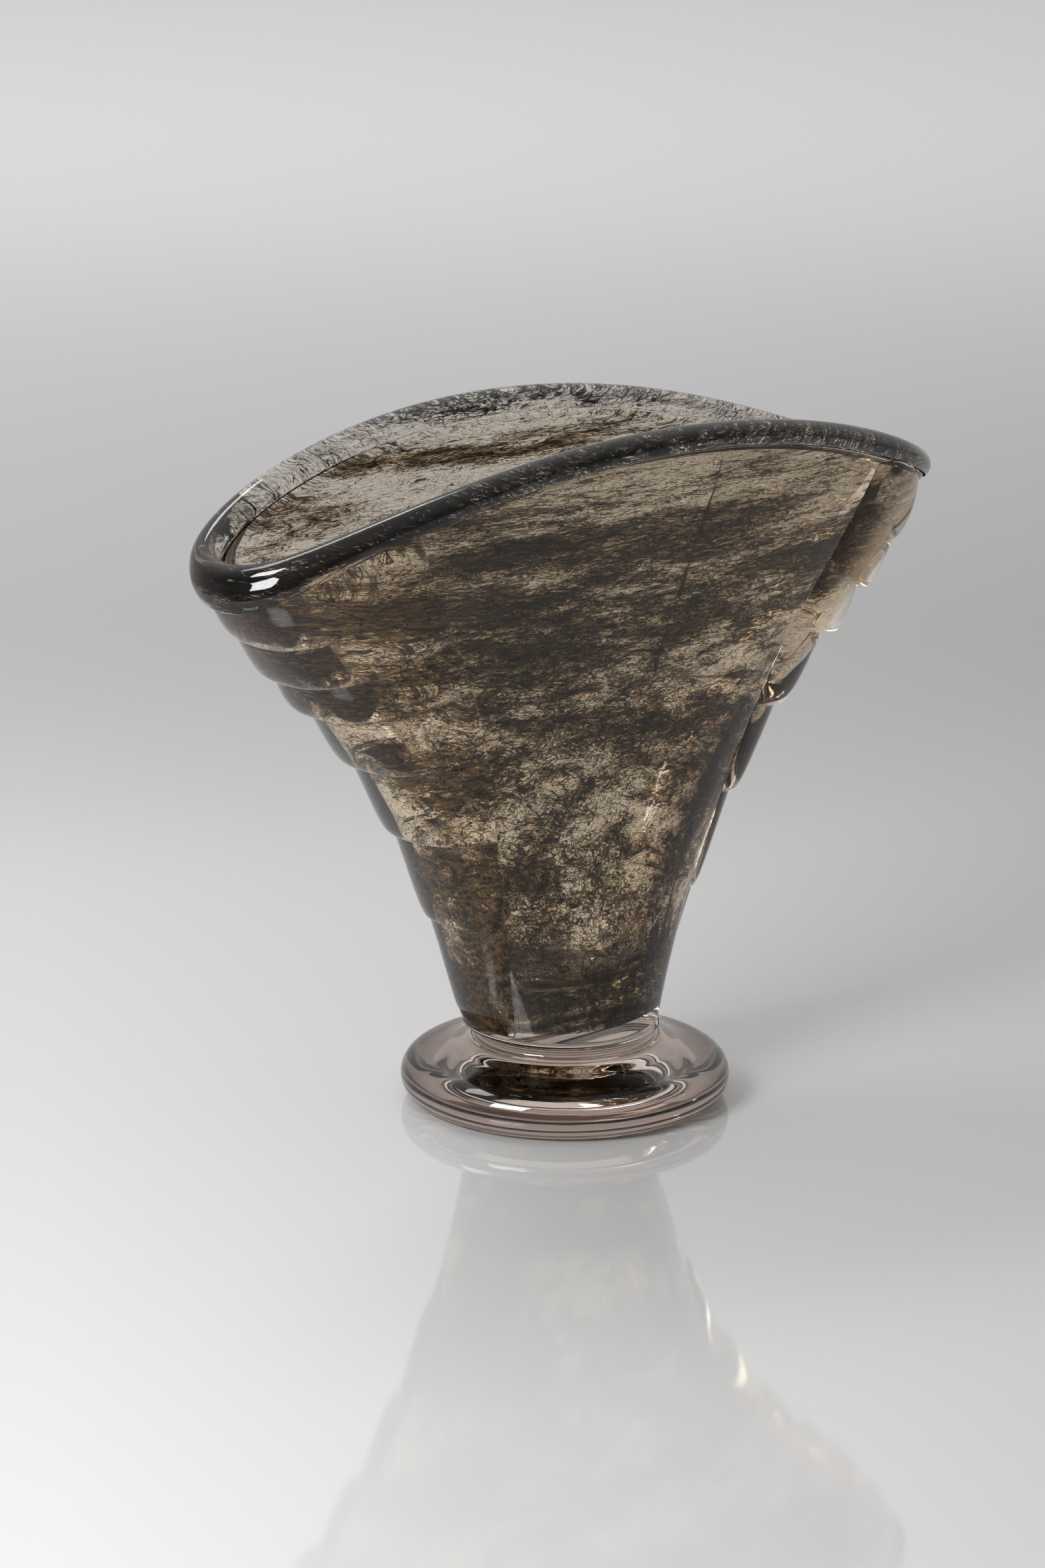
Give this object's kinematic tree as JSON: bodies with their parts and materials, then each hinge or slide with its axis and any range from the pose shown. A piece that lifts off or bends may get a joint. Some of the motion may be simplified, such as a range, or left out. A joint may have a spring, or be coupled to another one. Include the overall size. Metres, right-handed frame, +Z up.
{
  "type": "fan vase",
  "caption": "Thick hot-worked glass vase, a flattened fan with an arched beaded rim and ribbed end panels over a web of dark filaments, on a round clear foot.",
  "frame": {"origin": "centre of the flat ground base", "axes": "+Z up, X along the fan's length, Y through its depth; the rim leans slightly towards +X"},
  "size_m": [0.2596, 0.096, 0.2018],
  "materials": {
    "foot_glass": "clear glass with a smoky rose tint, fire polished, ground flat underneath",
    "body_glass": "clear smoky glass, fire polished",
    "lip_glass": "dark smoky glass bead with small seeds, fire polished",
    "dark_filaments": "web of black-brown oxide filaments and clouds caught between two layers of glass"
  },
  "bodies": {
    "root": {"foot": "foot_glass", "collar": "foot_glass", "casing": "body_glass", "lining": "body_glass", "filament_layer": "dark_filaments", "left_ribbed_panel": "body_glass", "right_ribbed_panel": "body_glass", "lip": "lip_glass"}
  },
  "joints": []
}
